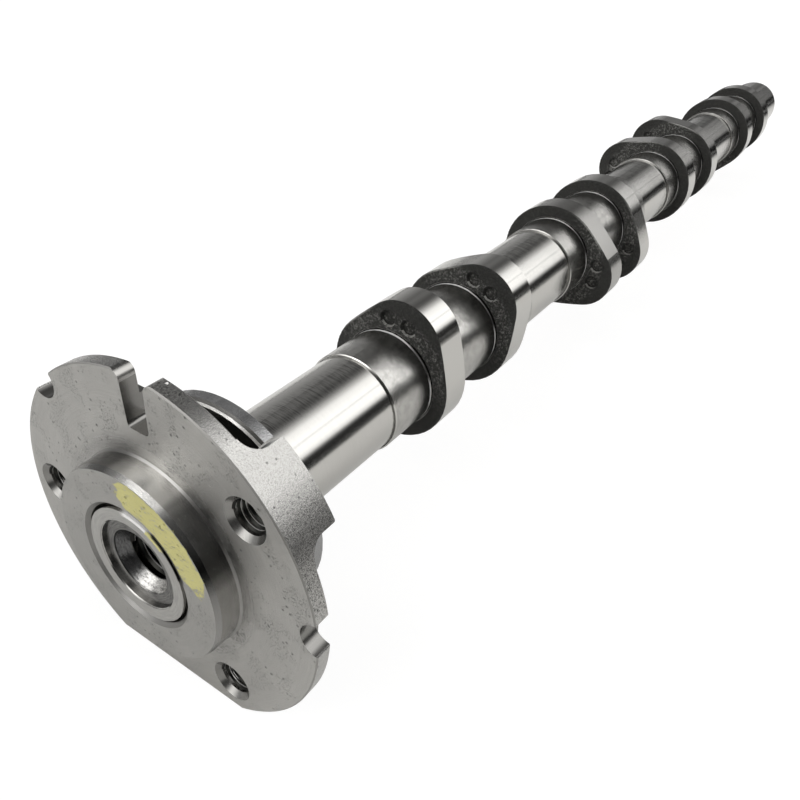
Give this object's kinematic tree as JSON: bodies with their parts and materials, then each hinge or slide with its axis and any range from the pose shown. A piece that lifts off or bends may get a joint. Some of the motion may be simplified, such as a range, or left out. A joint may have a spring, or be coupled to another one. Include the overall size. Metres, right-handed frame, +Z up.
{
  "type": "camshaft",
  "caption": "Cast camshaft with paired cam lobes, ground bearing journals, a thrust collar and a pressed-on drive flange with tapped holes and a rim tooth for a position sensor.",
  "frame": {"origin": "on the shaft axis, in the plane of the flange's front face, where the drive wheel seats", "axes": "+X along the shaft from the flange to the far end, +Z up with the flat on the flange's rim facing down, +Y to the left seen from the front of the flange with Z up"},
  "size_m": [0.4214, 0.0723, 0.0677],
  "materials": {
    "cast_shaft": "as cast on the lobe sides, ground on the lobes and polished on the journals",
    "steel_flange": "satin machined steel with a dab of yellow marking paint on the hub"
  },
  "bodies": {
    "root": {"camshaft": "cast_shaft", "drive_flange": "steel_flange"}
  },
  "joints": []
}
